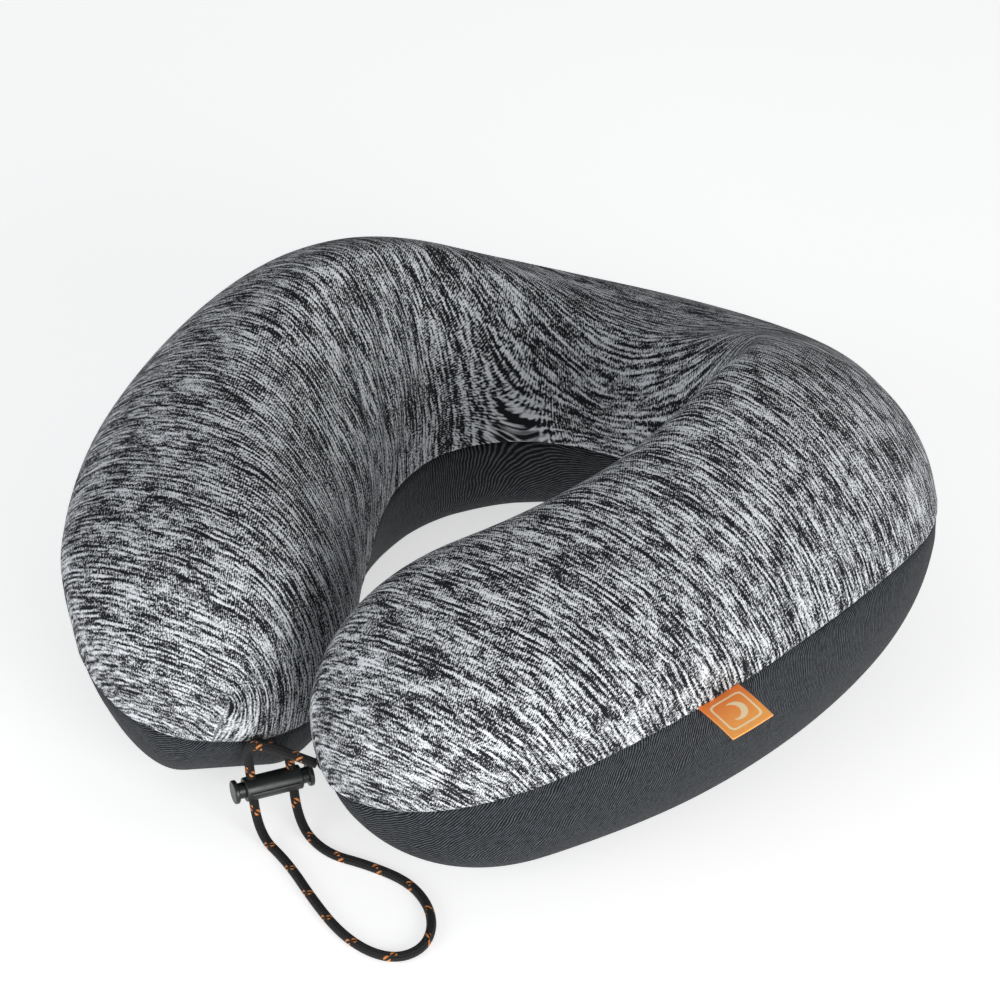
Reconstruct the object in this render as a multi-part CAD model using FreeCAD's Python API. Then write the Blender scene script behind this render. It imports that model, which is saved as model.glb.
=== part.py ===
"""U shaped neck pillow: foam core and liner inside a zipped two-panel cover,
with a draw cord, a double-ended cord lock and two sewn labels.

Millimetres, +Z up.  The pillow rests on Z = 0, its arms point along -Y, and the
origin is under the middle of its footprint.  Most sizes are measured along the
pillow's centre line: s runs from the middle of the back (0) to the tip of an arm,
positive for the +X arm; "reach" is a distance sideways from the centre line,
positive outwards; "inset" is a depth below the cover's outer surface.
"""
import FreeCAD
import Part
import math
import os
from FreeCAD import Vector

# Centre line in plan: a half circle round the neck, then two arms that close in.
ARC_CENTRE_Y = 31.0
BACK_RADIUS = 83.0
BACK_ANGLE = 89.0          # degrees each side of the back
ARM_RADIUS = 266.0
ARM_ANGLE = 42.5           # degrees that each arm turns inwards
TIP_DOME = 63.0            # length of the rounded end of each arm
TIP_CENTRE_Z = 54.5

# Section of the cushion, given at fractions of the centre line's half length.
OUTER_REACH = ((0.22, 46.0), (0.30, 52.5), (0.42, 61.0), (0.64, 63.0), (0.88, 55.0))
INNER_REACH = ((0.0, 43.9), (0.42, 27.6), (0.64, 37.7), (0.88, 44.6))
CROWN_HEIGHT = ((0.0, 82.8), (0.42, 126.0), (0.64, 118.0), (0.88, 105.0))
CROWN_REACH = ((0.0, -23.0), (0.42, -3.0), (0.64, 6.5), (0.88, -4.5))
OUTER_WIDEST_Z = ((0.18, 50.0), (0.42, 58.0), (0.64, 67.0), (0.88, 73.0))
INNER_WIDEST_Z = ((0.0, 55.0), (0.88, 49.4))
OUTER_SEAM_Z = ((0.18, 42.0), (0.42, 67.0), (0.62, 69.5), (0.90, 46.0), (1.0, 39.0))
INNER_SEAM_Z = ((0.5, 37.5), (0.85, 25.0), (1.0, 33.0))
FLAT_SHARE = 0.39          # part of each reach that rests flat on the table
TOP_FULLNESS = 0.55        # conic weights of the section: 0.707 is an ellipse
BASE_FULLNESS = 0.52

# Layers, as depths below the cover's surface.
COVER_THICKNESS = 1.5
LINER_DEPTH = 3.4
LINER_THICKNESS = 0.7
CORE_DEPTH = 4.3
SEAM_GAP = 0.15
BASE_SINK = 0.5            # the loft reaches this far below the flat face cut into it

# Zip in the outer seam at the back.
ZIP_HALF_ANGLE = 37.0      # degrees each side of the back
ZIP_SLOT = 3.0             # half height of the slit between the panels
SLIT_OVERRUN = 1.6         # degrees that the slit runs past the ends of the zip
SLIT_NEAR, SLIT_FAR = -6.0, 4.0
TAPE_HEIGHT = 7.0
TAPE_THICKNESS = 0.5
TAPE_START = 1.0           # from the seam to the edge of each tape
TAPE_OVERRUN = 2.0         # degrees that the tapes run past the ends of the zip
COVER_TO_TAPE = 0.1
TAPE_TO_COIL = 0.05
COIL_HALF_GAP = 0.45
COIL_HEIGHT = 1.8
COIL_THICKNESS = 1.3
STOP_ANGLE = 1.1
SLIDER_ANGLE = 4.4         # degrees of arc that the slider covers
SLIDER_HALF_HEIGHT = 4.1
SLIDER_REST = 124.0        # degrees from +X, at the closed end
WING_THICKNESS = 0.9
WING_CLEARANCE = 0.35
BACK_WING_CLEARANCE = 0.25
BACK_WING_STEP = 1.0       # the wing behind the tapes is narrower by this on each side
LINER_CLEARANCE = 0.3
WEB_HALF_HEIGHT = 0.3
WEB_SHARE = 0.6            # part of the slider's length that the web takes
WEB_OVERLAP = 0.2
BRIDGE_INNER, BRIDGE_OUTER = 1.8, 2.6
BRIDGE_HALF_WIDTH = 1.1
BRIDGE_SINK = 0.3
PULL_WIRE = 0.55
PULL_OFFSET = 1.1          # from the slider's face to the middle of the pull's wire
PULL_CLEARANCE = 0.35      # between the bridge and each arm of the wire
PULL_ARM = 6.2
PULL_OVERLAP = 0.6
PULL_CORNER = 1.4
PULL_LENGTH = 19.0
PULL_HALF_WIDTH = 3.1
PULL_THICKNESS = 1.5

# Labels: start and end along the centre line, as fractions, and length from the seam.
WOVEN_LABEL = {"from": 0.664, "to": 0.7035, "root": -0.4, "length": 17.0, "droop": 0.21,
               "thickness": 0.9}
CARE_LABEL = {"from": -0.31, "to": -0.255, "root": 0.3, "length": 24.0, "droop": 5.0,
              "thickness": 0.5}

# Draw cord and the lock that slides on it.
CORD_DIAMETER = 3.2
ANCHOR_RADIUS = 2.4
ANCHOR_DEPTH = 1.2         # how far each stitched anchor reaches into the cover
ANCHOR_PROUD = 1.2
LOCK_CENTRE = Vector(-9.2, -137.0, 18.0)
LOCK_AXIS = Vector(0.6, 0.8, 0.0)
STRAND_DIRECTION = Vector(0.16, -0.12, -0.98)
HOLE_OFFSET = 7.0          # from the lock's middle to each cord hole
HOLE_RADIUS = 1.75
BARREL_LENGTH = 19.6
BARREL_RADIUS = 4.1
BORE_RADIUS = 2.75
BARREL_ROUNDING = 0.5
RIB_RADIUS = 0.7
RIB_SINK = 0.25
RIB_MARGIN = 1.5           # from each end of the rib to the end of the barrel
STEM_CLEARANCE = 0.06
STEM_LENGTH = 10.4
BUTTON_TRAVEL = 2.0
BUTTON_GAP = 2.3
BUTTON_RADIUS = 4.0
BUTTON_THICKNESS = 1.6
BUTTON_ROUNDING = 0.45
STEM_OVERLAP = 0.5
POCKET_DEPTH = 2.6
POCKET_CLEARANCE = 0.15
SLOT_CLEARANCE = 0.1
SPRING_RADIUS = 1.9
SPRING_WIRE = 0.3
SPRING_TURNS = 3
SPRING_SEAT = 2.2          # how far the spring reaches into each stem

FLOOR_Z = CORD_DIAMETER / 2 + 0.05
STRAND_TOP = 7.6           # straight part of each strand above the lock's middle
STRAND_FOOT = (LOCK_CENTRE.z - FLOOR_Z) / -STRAND_DIRECTION.z
LEFT_HOLE = LOCK_CENTRE - LOCK_AXIS * HOLE_OFFSET
RIGHT_HOLE = LOCK_CENTRE + LOCK_AXIS * HOLE_OFFSET
NEAR_NORMAL = Vector(-0.74, -0.56, -0.37)
FAR_NORMAL = Vector(0.74, -0.56, -0.37)
NEAR_EXIT = Vector(12.4, -139.8, 35.9) + NEAR_NORMAL * ANCHOR_PROUD
FAR_EXIT = Vector(-12.4, -139.8, 35.9) + FAR_NORMAL * ANCHOR_PROUD

# The cord from the +X tip, down through the lock, round its loop and back up.
CORD_ROUTE = [
    NEAR_EXIT,
    Vector(6.0, -141.4, 36.4),
    Vector(-3.0, -142.2, 37.0),
    Vector(-13.2, -144.4, 37.2),
    LEFT_HOLE - STRAND_DIRECTION * STRAND_TOP,
    LEFT_HOLE + STRAND_DIRECTION * STRAND_FOOT,
    Vector(7.0, -152.8, FLOOR_Z),
    Vector(25.0, -165.0, FLOOR_Z),
    Vector(41.5, -174.6, FLOOR_Z),
    Vector(55.5, -178.4, FLOOR_Z),
    Vector(65.0, -176.2, FLOOR_Z),
    Vector(69.0, -168.0, FLOOR_Z),
    Vector(66.0, -157.5, FLOOR_Z),
    Vector(58.0, -148.0, FLOOR_Z),
    Vector(46.0, -141.4, FLOOR_Z),
    Vector(30.0, -140.6, FLOOR_Z),
    Vector(14.5, -142.4, FLOOR_Z),
    RIGHT_HOLE + STRAND_DIRECTION * STRAND_FOOT,
    RIGHT_HOLE - STRAND_DIRECTION * STRAND_TOP,
    Vector(-5.5, -134.0, 30.5),
    Vector(-8.4, -139.2, 34.8),
    FAR_EXIT,
]

UP = Vector(0, 0, 1)
BACK_CENTRE = Vector(0, ARC_CENTRE_Y, 0)
BACK_LENGTH = BACK_RADIUS * math.radians(BACK_ANGLE)
HALF_LENGTH = BACK_LENGTH + ARM_RADIUS * math.radians(ARM_ANGLE)
DOME_START = HALF_LENGTH - TIP_DOME


def interpolate(table, fraction):
    """Smooth curve through (fraction, value) pairs, level outside its ends."""
    if fraction <= table[0][0]:
        return table[0][1]
    if fraction >= table[-1][0]:
        return table[-1][1]
    slopes = [0.0]
    for before, after in zip(table, table[2:]):
        slopes.append((after[1] - before[1]) / (after[0] - before[0]))
    slopes.append(0.0)
    for (x0, y0), (x1, y1), m0, m1 in zip(table, table[1:], slopes, slopes[1:]):
        if fraction <= x1:
            width = x1 - x0
            t = (fraction - x0) / width
            rise = t * t * (3 - 2 * t)
            return (y0 + (y1 - y0) * rise + width * m0 * t * (1 - t) ** 2
                    - width * m1 * t * t * (1 - t))


def plan_frame(s):
    """Point on the centre line at s, and the outward direction there."""
    side = 1 if s >= 0 else -1
    distance = abs(s)
    if distance <= BACK_LENGTH:
        turn = distance / BACK_RADIUS
        x, y = BACK_RADIUS * math.sin(turn), BACK_RADIUS * math.cos(turn)
    else:
        start = math.radians(BACK_ANGLE)
        turn = start + (distance - BACK_LENGTH) / ARM_RADIUS
        x = BACK_RADIUS * math.sin(start) + ARM_RADIUS * (math.sin(turn) - math.sin(start))
        y = BACK_RADIUS * math.cos(start) + ARM_RADIUS * (math.cos(turn) - math.cos(start))
    return Vector(side * x, ARC_CENTRE_Y + y, 0), Vector(side * math.sin(turn), math.cos(turn), 0)


def tip_scale(s, inset=0.0):
    """How far the section has shrunk in the rounded end of an arm."""
    depth = (abs(s) - DOME_START) / (TIP_DOME - inset)
    if depth <= 0:
        return 1.0
    return math.sqrt(max(0.0, 1 - depth * depth))


def section_sizes(s):
    fraction = abs(s) / HALF_LENGTH
    tables = (OUTER_REACH, INNER_REACH, CROWN_HEIGHT, CROWN_REACH, OUTER_WIDEST_Z, INNER_WIDEST_Z)
    return [interpolate(table, fraction) for table in tables]


def conic(start, corner, end, fullness):
    curve = Part.BezierCurve()
    curve.setPoles([start, corner, end])
    curve.setWeight(2, fullness)
    return curve.toShape()


def section_wire(s, inset):
    """Closed outline of the cushion at s, moved inwards by inset."""
    outer, inner, height, crown, outer_z, inner_z = section_sizes(s)
    centre, outward = plan_frame(s)
    scale = tip_scale(s, inset)

    def place(reach, z):
        return centre + outward * (reach * scale) + UP * (TIP_CENTRE_Z + (z - TIP_CENTRE_Z) * scale)

    top, base = height - inset, inset - BASE_SINK
    right, left = outer - inset, inset - inner
    flat_right, flat_left = outer * FLAT_SHARE, -inner * FLAT_SHARE
    edges = [
        conic(place(right, outer_z), place(right, top), place(crown, top), TOP_FULLNESS),
        conic(place(crown, top), place(left, top), place(left, inner_z), TOP_FULLNESS),
        conic(place(left, inner_z), place(left, base), place(flat_left, base), BASE_FULLNESS),
        Part.LineSegment(place(flat_left, base), place(flat_right, base)).toShape(),
        conic(place(flat_right, base), place(right, base), place(right, outer_z), BASE_FULLNESS),
    ]
    return Part.Wire(edges)


def stations(inset):
    """Places along the centre line, closer together in the rounded ends."""
    body_steps = 20
    dome_angles = (18, 36, 52, 66, 77)
    body = [-DOME_START + 2 * DOME_START * i / body_steps for i in range(body_steps + 1)]
    dome = [DOME_START + (TIP_DOME - inset) * math.sin(math.radians(a)) for a in dome_angles]
    return [-s for s in reversed(dome)] + body + dome


def cushion(inset):
    """The whole pillow's solid, moved inwards by inset and cut off flat below."""
    body = Part.makeLoft([section_wire(s, inset) for s in stations(inset)], True, False)
    half = 250.0
    room = Part.makeBox(2 * half, 2 * half, half, Vector(-half, -half, inset))
    return body.common(room)


def seam_heights(s):
    fraction = abs(s) / HALF_LENGTH
    return interpolate(OUTER_SEAM_Z, fraction), interpolate(INNER_SEAM_Z, fraction)


def below_seam(drop):
    """Everything below the seam between the two panels, as a cutting solid."""
    margin, depth, overrun = 4.0, 12.0, 4.0
    wires = []
    places = stations(0)
    places = [-HALF_LENGTH - overrun] + places + [HALF_LENGTH + overrun]
    for s in places:
        outer, inner = section_sizes(s)[:2]
        scale = max(tip_scale(s), tip_scale(stations(0)[-1]))
        centre, outward = plan_frame(s)
        outer_z, inner_z = (z - drop for z in seam_heights(s))
        right = outward * (outer * scale + margin)
        left = outward * -(inner * scale + margin)
        corners = [centre + right - UP * depth, centre + right + UP * outer_z,
                   centre + left + UP * inner_z, centre + left - UP * depth]
        wires.append(Part.makePolygon(corners + corners[:1]))
    return Part.makeLoft(wires, True, False)


def wall_reach(s, z, inset=0.0):
    """Reach of the outer wall at height z, which is below its widest line."""
    outer, widest = section_sizes(s)[0], section_sizes(s)[4]
    base = inset - BASE_SINK
    ratio = (widest - base) / (z - base)
    r = math.sqrt(BASE_FULLNESS ** 2 - 1 + ratio) - BASE_FULLNESS
    shoulder = 1 + 2 * BASE_FULLNESS * r
    return ((outer - inset) * shoulder + outer * FLAT_SHARE * r * r) / (shoulder + r * r)


def ring_strip(low, high, near, far, start_angle, end_angle):
    """Part of a ring round the back's centre that follows the outer wall.

    It runs from height low to high, from inset near to inset far, and between
    two angles in degrees from +X.
    """
    steps = 3
    heights = [low + (high - low) * i / steps for i in range(steps + 1)]

    def edge(inset):
        points = [Vector(BACK_RADIUS + wall_reach(0, z) - inset, 0, z) for z in heights]
        curve = Part.BSplineCurve()
        curve.interpolate(points)
        return curve.toShape(), points

    outside, outside_points = edge(near)
    inside, inside_points = edge(far)
    face = Part.Face(Part.Wire([
        outside,
        Part.LineSegment(outside_points[-1], inside_points[-1]).toShape(),
        inside,
        Part.LineSegment(inside_points[0], outside_points[0]).toShape(),
    ]))
    face.rotate(Vector(0, 0, 0), UP, start_angle)
    solid = face.revolve(Vector(0, 0, 0), UP, end_angle - start_angle)
    solid.translate(BACK_CENTRE)
    return solid


SEAM_Z = OUTER_SEAM_Z[0][1]
ZIP_START = 90 - ZIP_HALF_ANGLE
ZIP_END = 90 + ZIP_HALF_ANGLE


def zip_parts():
    """Tapes, coils and end stops of the closed zip."""
    tape_near = COVER_THICKNESS + COVER_TO_TAPE
    tape_far = tape_near + TAPE_THICKNESS
    coil_far = tape_near - TAPE_TO_COIL
    tape_start = SEAM_Z + TAPE_START
    parts = {}
    for name, side in (("upper", 1), ("lower", -1)):
        tape = sorted((tape_start, tape_start + TAPE_HEIGHT))
        coil = (SEAM_Z + COIL_HALF_GAP, SEAM_Z + COIL_HALF_GAP + COIL_HEIGHT)
        if side < 0:
            tape = [2 * SEAM_Z - z for z in reversed(tape)]
            coil = [2 * SEAM_Z - z for z in reversed(coil)]
        parts["zip_tape_" + name] = ring_strip(*tape, tape_near, tape_far,
                                               ZIP_START - TAPE_OVERRUN, ZIP_END + TAPE_OVERRUN)
        parts["zip_coil_" + name] = ring_strip(*coil, coil_far - COIL_THICKNESS, coil_far,
                                               ZIP_START, ZIP_END)
    stop_half = COIL_HALF_GAP + COIL_HEIGHT
    for name, start in (("start", ZIP_START - STOP_ANGLE), ("end", ZIP_END)):
        parts["zip_stop_" + name] = ring_strip(SEAM_Z - stop_half, SEAM_Z + stop_half,
                                               0.0, coil_far, start, start + STOP_ANGLE)
    return parts


def at_slider(shape):
    """Moves a shape from the +X side of the back's centre to the slider."""
    shape.rotate(Vector(0, 0, 0), UP, SLIDER_REST)
    shape.translate(BACK_CENTRE + UP * SEAM_Z)
    return shape


COIL_FACE = COVER_THICKNESS + COVER_TO_TAPE - TAPE_TO_COIL - COIL_THICKNESS
WING_BACK = COIL_FACE - WING_CLEARANCE
WING_FRONT = WING_BACK - WING_THICKNESS
BRIDGE_CENTRE = BACK_RADIUS + wall_reach(0, SEAM_Z) - WING_FRONT
PULL_PIVOT = BRIDGE_CENTRE + PULL_OFFSET


def zip_slider():
    """Two curved wings joined by a thin web, with a bridge for the pull."""
    start, end = SLIDER_REST - SLIDER_ANGLE / 2, SLIDER_REST + SLIDER_ANGLE / 2
    low, high = SEAM_Z - SLIDER_HALF_HEIGHT, SEAM_Z + SLIDER_HALF_HEIGHT
    inner_wing_near = COVER_THICKNESS + COVER_TO_TAPE + TAPE_THICKNESS + BACK_WING_CLEARANCE
    inner_wing_far = LINER_DEPTH - LINER_CLEARANCE
    wing = ring_strip(low, high, WING_FRONT, WING_BACK, start, end)
    back_wing = ring_strip(low + BACK_WING_STEP, high - BACK_WING_STEP, inner_wing_near,
                           inner_wing_far, start, end)
    joint = ring_strip(SEAM_Z - WEB_HALF_HEIGHT, SEAM_Z + WEB_HALF_HEIGHT, WING_BACK - WEB_OVERLAP,
                       inner_wing_near + WEB_OVERLAP, end - SLIDER_ANGLE * WEB_SHARE, end)
    foot = Vector(BRIDGE_CENTRE, 0, -BRIDGE_HALF_WIDTH)
    ring = Part.makeCylinder(BRIDGE_OUTER, 2 * BRIDGE_HALF_WIDTH, foot, UP)
    ring = ring.cut(Part.makeCylinder(BRIDGE_INNER, 2 * BRIDGE_HALF_WIDTH, foot, UP))
    half = Part.makeBox(2 * BRIDGE_OUTER, 4 * BRIDGE_OUTER, 2 * BRIDGE_HALF_WIDTH,
                        Vector(BRIDGE_CENTRE - BRIDGE_SINK, -2 * BRIDGE_OUTER, -BRIDGE_HALF_WIDTH))
    return wing.fuse([back_wing, joint, at_slider(ring.common(half))]).removeSplitter()


def zip_pull():
    """Wire eye round the slider's bridge and a flat tab, lying along the zip."""
    arm_z = BRIDGE_HALF_WIDTH + PULL_CLEARANCE + PULL_WIRE
    pin = Part.makeCylinder(PULL_WIRE, 2 * arm_z, Vector(PULL_PIVOT, 0, -arm_z), UP)
    pieces = []
    for z in (-arm_z, arm_z):
        pieces.append(Part.makeCylinder(PULL_WIRE, PULL_ARM, Vector(PULL_PIVOT, 0, z), Vector(0, 1, 0)))
        pieces.append(Part.makeSphere(PULL_WIRE, Vector(PULL_PIVOT, 0, z)))
    tab_length = PULL_LENGTH - PULL_ARM
    tab = Part.makeBox(PULL_THICKNESS, tab_length, 2 * PULL_HALF_WIDTH,
                       Vector(PULL_PIVOT - PULL_THICKNESS / 2, PULL_ARM - PULL_OVERLAP, -PULL_HALF_WIDTH))
    corners = [e for e in tab.Edges
               if abs(e.Vertexes[0].Y - e.Vertexes[-1].Y) < 0.01
               and abs(e.Vertexes[0].Z - e.Vertexes[-1].Z) < 0.01]
    tab = tab.makeFillet(PULL_CORNER, corners)
    for piece in pieces + [tab]:
        pin = pin.fuse(piece)
    return at_slider(pin)


def sewn_label(label):
    """Flat label that stands out of the outer seam between two places."""
    corners = []
    for fraction in (label["from"], label["to"]):
        s = fraction * HALF_LENGTH
        z = seam_heights(s)[0]
        centre, outward = plan_frame(s)
        root = centre + outward * (wall_reach(s, z) + label["root"]) + UP * z
        corners.append((root, root + (outward - UP * label["droop"]).normalize() * label["length"]))
    (a, a_end), (b, b_end) = corners
    face = Part.Face(Part.makePolygon([a, b, b_end, a + (b_end - b), a]))
    normal = face.normalAt(0, 0)
    if normal.z < 0:
        normal = normal * -1
    return face.extrude(normal * label["thickness"])


def cord_wire():
    """The route as straight runs joined by tangent arcs; prints the arcs' radii."""
    edges, radii = [], []
    start = CORD_ROUTE[0]
    for before, corner, after in zip(CORD_ROUTE, CORD_ROUTE[1:], CORD_ROUTE[2:]):
        back, ahead = before - corner, after - corner
        tangent = 0.45 * min(back.Length, ahead.Length)
        half_turn = (math.pi - back.getAngle(ahead)) / 2
        radii.append(tangent / math.tan(half_turn))
        back.normalize()
        ahead.normalize()
        first, last = corner + back * tangent, corner + ahead * tangent
        inward = (back + ahead).normalize()
        middle = corner + inward * (radii[-1] / math.cos(half_turn) - radii[-1])
        edges.append(Part.LineSegment(start, first).toShape())
        edges.append(Part.Arc(first, middle, last).toShape())
        start = last
    edges.append(Part.LineSegment(start, CORD_ROUTE[-1]).toShape())
    print("cord bend radii:", " ".join("%.1f" % radius for radius in radii))
    return Part.Wire(edges)


def draw_cord():
    path = cord_wire()
    section = Part.Wire(Part.makeCircle(CORD_DIAMETER / 2, CORD_ROUTE[0], CORD_ROUTE[1] - CORD_ROUTE[0]))
    tube = path.makePipeShell([section], True, False)
    expected = math.pi * CORD_DIAMETER ** 2 / 4 * path.Length
    print("cord length %.1f, volume %.1f against %.1f" % (path.Length, tube.Volume, expected))
    return tube


def cord_anchor(exit_point, normal):
    """Stitched tack that holds one end of the cord in the seam."""
    start = exit_point - normal * (ANCHOR_DEPTH + ANCHOR_PROUD)
    return Part.makeCylinder(ANCHOR_RADIUS, ANCHOR_DEPTH + ANCHOR_PROUD, start, normal)


def along_lock(distance):
    return LOCK_CENTRE + LOCK_AXIS * distance


def lock_hole(side, radius, stretch=0.0):
    """Cord hole through the lock, stretched towards its end for the stem's travel."""
    length = 3 * BARREL_RADIUS
    centre = along_lock(side * HOLE_OFFSET) - STRAND_DIRECTION * (length / 2)
    hole = Part.makeCylinder(radius, length, centre, STRAND_DIRECTION)
    if not stretch:
        return hole
    end = hole.copy()
    end.translate(LOCK_AXIS * (side * stretch))
    across = STRAND_DIRECTION.cross(LOCK_AXIS).normalize()
    corner = centre - across * radius
    face = Part.Face(Part.makePolygon([
        corner, corner + LOCK_AXIS * (side * stretch),
        corner + LOCK_AXIS * (side * stretch) + across * (2 * radius),
        corner + across * (2 * radius), corner]))
    return hole.fuse([end, face.extrude(STRAND_DIRECTION.normalize() * length)]).removeSplitter()


def lock_barrel():
    barrel = Part.makeCylinder(BARREL_RADIUS, BARREL_LENGTH, along_lock(-BARREL_LENGTH / 2), LOCK_AXIS)
    rims = [e for e in barrel.Edges if isinstance(e.Curve, Part.Circle)]
    barrel = barrel.makeFillet(BARREL_ROUNDING, rims)
    across = LOCK_AXIS.cross(UP)
    for side in (1, -1):
        offset = across * (side * (BARREL_RADIUS - RIB_SINK))
        rib = Part.makeCylinder(RIB_RADIUS, BARREL_LENGTH - 2 * RIB_MARGIN,
                                along_lock(RIB_MARGIN - BARREL_LENGTH / 2) + offset, LOCK_AXIS)
        barrel = barrel.fuse(rib)
    bore = Part.makeCylinder(BORE_RADIUS, 2 * BARREL_LENGTH, along_lock(-BARREL_LENGTH), LOCK_AXIS)
    barrel = barrel.cut(bore)
    for side in (1, -1):
        barrel = barrel.cut(lock_hole(side, HOLE_RADIUS))
    return barrel


def lock_button(side):
    """Plunger: slotted stem in the bore, neck and round head outside it."""
    head_start = BARREL_LENGTH / 2 + BUTTON_GAP
    stem_end = head_start + STEM_OVERLAP
    axis = LOCK_AXIS * side
    stem = Part.makeCylinder(BORE_RADIUS - STEM_CLEARANCE, STEM_LENGTH,
                             LOCK_CENTRE + axis * (stem_end - STEM_LENGTH), axis)
    head = Part.makeCylinder(BUTTON_RADIUS, BUTTON_THICKNESS, LOCK_CENTRE + axis * head_start, axis)
    head = head.makeFillet(BUTTON_ROUNDING, [e for e in head.Edges if isinstance(e.Curve, Part.Circle)])
    pocket = Part.makeCylinder(SPRING_RADIUS + SPRING_WIRE + POCKET_CLEARANCE, POCKET_DEPTH,
                               LOCK_CENTRE + axis * (stem_end - STEM_LENGTH), axis)
    slot = lock_hole(side, HOLE_RADIUS, BUTTON_TRAVEL + SLOT_CLEARANCE)
    slot.translate(axis * (-SLOT_CLEARANCE / 2))
    return stem.fuse(head).cut(pocket).cut(slot)


def lock_spring():
    """Compression spring between the two stems, as a row of rings on a thin spine."""
    room = 2 * (BARREL_LENGTH / 2 + BUTTON_GAP + STEM_OVERLAP - STEM_LENGTH) + 2 * SPRING_SEAT
    pitch = (room - 2 * SPRING_WIRE) / SPRING_TURNS
    helix = Part.makeHelix(pitch, pitch * SPRING_TURNS, SPRING_RADIUS)
    section = Part.Wire(Part.makeCircle(SPRING_WIRE, Vector(SPRING_RADIUS, 0, 0), Vector(0, 1, 0)))
    coil = Part.Wire(helix.Edges).makePipeShell([section], True, True)
    coil.translate(UP * (-pitch * SPRING_TURNS / 2))
    coil.Placement = FreeCAD.Placement(LOCK_CENTRE, FreeCAD.Rotation(UP, LOCK_AXIS)) * coil.Placement
    return coil


def main():
    os.makedirs("parts", exist_ok=True)
    surface = cushion(0)
    anchors = {
        "cord_anchor_near": cord_anchor(NEAR_EXIT, NEAR_NORMAL),
        "cord_anchor_far": cord_anchor(FAR_EXIT, FAR_NORMAL),
    }
    shell = surface.cut(cushion(COVER_THICKNESS))
    slit = ring_strip(SEAM_Z - ZIP_SLOT, SEAM_Z + ZIP_SLOT, SLIT_NEAR, SLIT_FAR,
                      ZIP_START - SLIT_OVERRUN, ZIP_END + SLIT_OVERRUN)
    parts = {
        "foam_core": cushion(CORE_DEPTH),
        "foam_liner": cushion(LINER_DEPTH).cut(cushion(LINER_DEPTH + LINER_THICKNESS)),
        "cover_top_panel": shell.cut(below_seam(0)).cut(slit),
        "cover_base_panel": shell.common(below_seam(SEAM_GAP)).cut(slit),
        "zip_slider_body": zip_slider(),
        "zip_pull_tab": zip_pull(),
        "woven_label": sewn_label(WOVEN_LABEL),
        "care_label": sewn_label(CARE_LABEL),
        "draw_cord": draw_cord(),
        "cord_lock_barrel": lock_barrel(),
        "cord_lock_button_left": lock_button(-1),
        "cord_lock_button_right": lock_button(1),
        "cord_lock_spring": lock_spring(),
    }
    parts.update(zip_parts())
    parts.update(anchors)
    for name, shape in parts.items():
        solids = shape.Solids
        box = shape.BoundBox
        print("%-24s solids %d valid %s volume %9.1f  box %s" % (
            name, len(solids), shape.isValid(), shape.Volume,
            " ".join("%.1f" % v for v in (box.XMin, box.XMax, box.YMin, box.YMax, box.ZMin, box.ZMax))))
        shape.exportStep("parts/%s.step" % name)


main()
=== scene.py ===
import bpy
import bmesh
import math
import numpy as np
from mathutils import Matrix, Vector, noise


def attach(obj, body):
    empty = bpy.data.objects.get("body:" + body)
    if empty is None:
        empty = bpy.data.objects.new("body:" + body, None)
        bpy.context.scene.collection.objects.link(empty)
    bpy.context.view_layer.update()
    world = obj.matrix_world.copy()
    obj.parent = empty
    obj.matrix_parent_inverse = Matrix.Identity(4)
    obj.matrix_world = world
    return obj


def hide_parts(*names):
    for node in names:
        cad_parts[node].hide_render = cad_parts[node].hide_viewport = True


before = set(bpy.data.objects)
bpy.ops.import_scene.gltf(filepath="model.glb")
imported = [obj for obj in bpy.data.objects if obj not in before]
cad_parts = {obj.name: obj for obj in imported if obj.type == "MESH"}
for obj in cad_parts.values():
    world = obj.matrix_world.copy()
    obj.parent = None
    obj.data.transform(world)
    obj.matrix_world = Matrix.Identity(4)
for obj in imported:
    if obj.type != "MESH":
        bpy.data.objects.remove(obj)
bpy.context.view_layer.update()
scene = bpy.context.scene
mm = 0.001

# camera
camera = {
    "place": (0.55221, -0.88803, 0.69438),
    "target": (-0.03391, 0.04744, 0.02221),
    "roll": -1.209,        # degrees
    "lens": 125.58,
}
cameraData = bpy.data.cameras.new("camera")
cameraData.lens = camera["lens"]
cameraData.sensor_width = 36.0
cameraData.clip_end = 20.0
cameraObject = bpy.data.objects.new("camera", cameraData)
scene.collection.objects.link(cameraObject)
aim = (Vector(camera["target"]) - Vector(camera["place"])).to_track_quat("-Z", "Y").to_matrix().to_4x4()
cameraObject.matrix_world = (Matrix.Translation(camera["place"]) @ aim
                             @ Matrix.Rotation(math.radians(camera["roll"]), 4, "Z"))
scene.camera = cameraObject
print("camera placed")


class Wire:
    # an output socket that takes part in ordinary sums
    def __init__(self, paint, socket):
        self.paint, self.socket = paint, socket

    def calc(self, operation, *values):
        return self.paint.calc(operation, *values)

    def __add__(self, other): return self.calc("ADD", self, other)
    def __radd__(self, other): return self.calc("ADD", other, self)
    def __sub__(self, other): return self.calc("SUBTRACT", self, other)
    def __rsub__(self, other): return self.calc("SUBTRACT", other, self)
    def __mul__(self, other): return self.calc("MULTIPLY", self, other)
    def __rmul__(self, other): return self.calc("MULTIPLY", other, self)
    def __neg__(self): return self.calc("MULTIPLY", self, -1.0)
    def __gt__(self, other): return self.calc("GREATER_THAN", self, other)
    def __lt__(self, other): return self.calc("LESS_THAN", self, other)
    def __abs__(self): return self.calc("ABSOLUTE", self)
    def __mod__(self, other): return self.calc("FLOORED_MODULO", self, other)
    def __pow__(self, other): return self.calc("POWER", self, other)


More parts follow.
